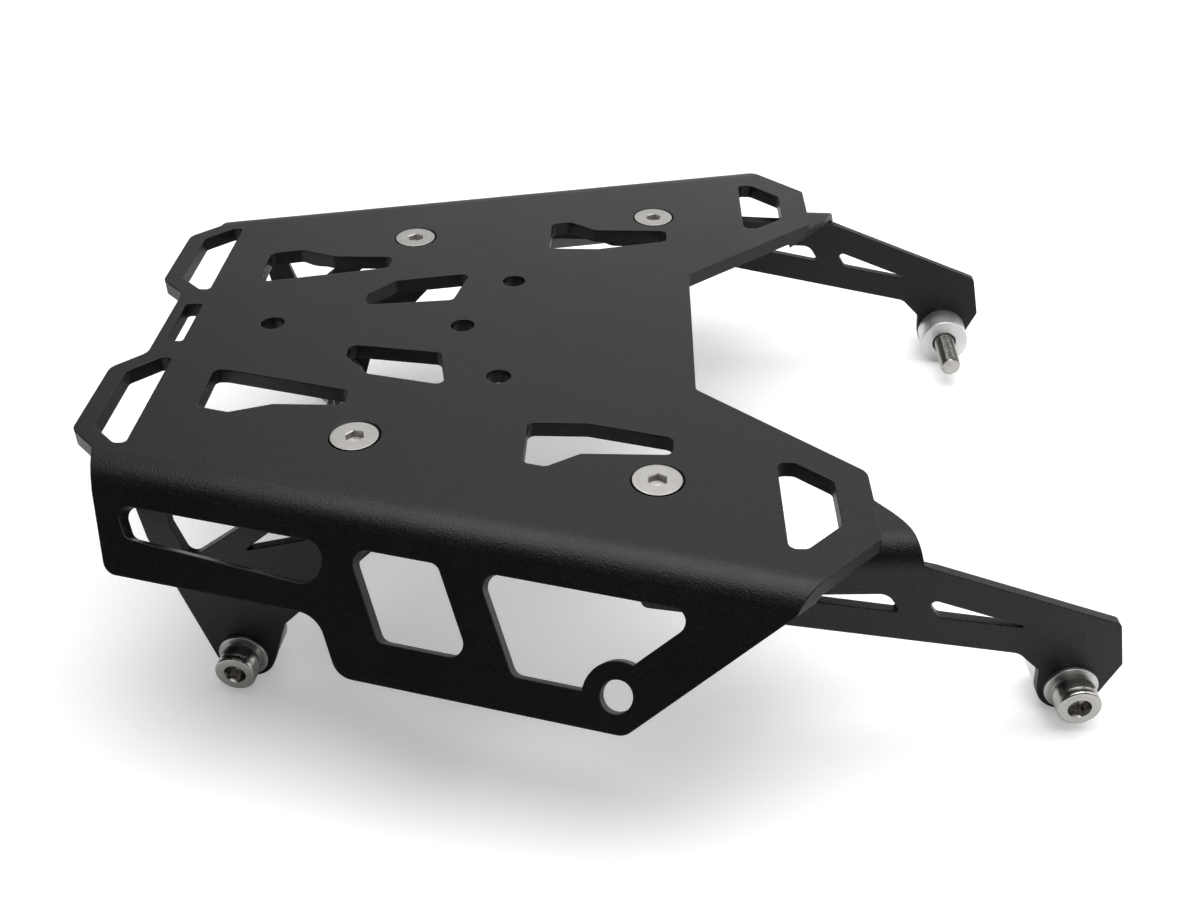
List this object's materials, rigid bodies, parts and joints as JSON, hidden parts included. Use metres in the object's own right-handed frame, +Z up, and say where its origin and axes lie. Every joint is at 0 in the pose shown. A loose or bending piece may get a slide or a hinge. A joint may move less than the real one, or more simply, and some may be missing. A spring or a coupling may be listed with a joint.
{
  "type": "motorcycle luggage rack",
  "caption": "Folded aluminium plate rack with strap slots and sloping side flanges, on folded truss brackets with mounting bolts.",
  "frame": {"origin": "centre of the middle deck hole, on the deck's top face", "axes": "+X to the front of the motorcycle, +Y to its left side, +Z up; the rack is symmetric about the XZ plane"},
  "size_m": [0.3141, 0.2984, 0.0821],
  "materials": {
    "deck_coat": "fine texture black powder coat",
    "bracket_coat": "fine texture black powder coat",
    "screw_steel": "turned stainless steel",
    "washer_steel": "plain stainless steel",
    "nut_steel": "plain stainless steel",
    "bolt_steel": "bright stainless steel",
    "spacer_aluminium": "turned aluminium"
  },
  "bodies": {
    "root": {"rack_plate": "deck_coat", "bracket_left": "bracket_coat", "bracket_right": "bracket_coat", "plate_screw_rear_left": "screw_steel", "plate_screw_rear_right": "screw_steel", "plate_screw_front_left": "screw_steel", "plate_screw_front_right": "screw_steel", "plate_washer_rear_left": "washer_steel", "plate_washer_rear_right": "washer_steel", "plate_washer_front_left": "washer_steel", "plate_washer_front_right": "washer_steel", "plate_nut_rear_left": "nut_steel", "plate_nut_rear_right": "nut_steel", "plate_nut_front_left": "nut_steel", "plate_nut_front_right": "nut_steel", "mount_bolt_rear_left": "bolt_steel", "mount_bolt_rear_right": "bolt_steel", "mount_bolt_front_left": "bolt_steel", "mount_bolt_front_right": "bolt_steel", "mount_washer_rear_left": "washer_steel", "mount_washer_rear_right": "washer_steel", "mount_washer_front_left": "washer_steel", "mount_washer_front_right": "washer_steel", "mount_spacer_rear_left": "spacer_aluminium", "mount_spacer_rear_right": "spacer_aluminium", "mount_spacer_front_left": "spacer_aluminium", "mount_spacer_front_right": "spacer_aluminium"}
  },
  "joints": []
}
